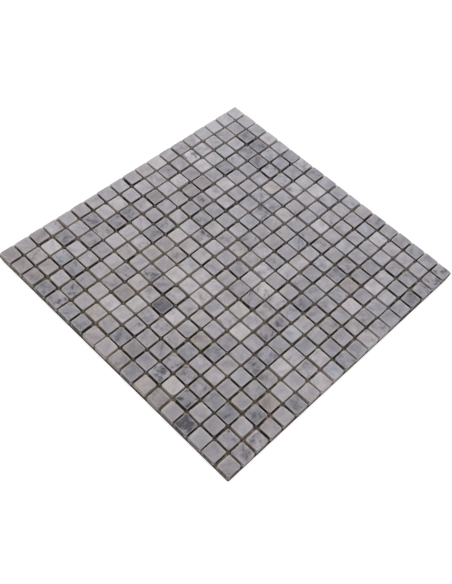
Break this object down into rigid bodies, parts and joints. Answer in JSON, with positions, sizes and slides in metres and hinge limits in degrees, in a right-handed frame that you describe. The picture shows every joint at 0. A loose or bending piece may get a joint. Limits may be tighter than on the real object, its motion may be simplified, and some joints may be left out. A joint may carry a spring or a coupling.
{
  "type": "mosaic tile sheet",
  "caption": "Flat rectangular mosaic sheet of small square tumbled marble chips with open joints, held on a thin open fibreglass mesh for bonding to a wall or floor.",
  "frame": {"origin": "middle of the sheet's underside, on the plane that the mesh lies on", "axes": "+Z out of the chips' faces, +X along the long side of 19 chips, +Y along the short side of 18 chips"},
  "size_m": [0.321, 0.304, 0.0074],
  "materials": {
    "marble": "tumbled, matt, grey with darker veins",
    "fibreglass_mesh": "resin-coated glass strands"
  },
  "bodies": {
    "root": {"chip_row_01": "marble", "chip_row_02": "marble", "chip_row_03": "marble", "chip_row_04": "marble", "chip_row_05": "marble", "chip_row_06": "marble", "chip_row_07": "marble", "chip_row_08": "marble", "chip_row_09": "marble", "chip_row_10": "marble", "chip_row_11": "marble", "chip_row_12": "marble", "chip_row_13": "marble", "chip_row_14": "marble", "chip_row_15": "marble", "chip_row_16": "marble", "chip_row_17": "marble", "chip_row_18": "marble", "mesh_weft_strands": "fibreglass_mesh", "mesh_warp_strands": "fibreglass_mesh"}
  },
  "joints": []
}
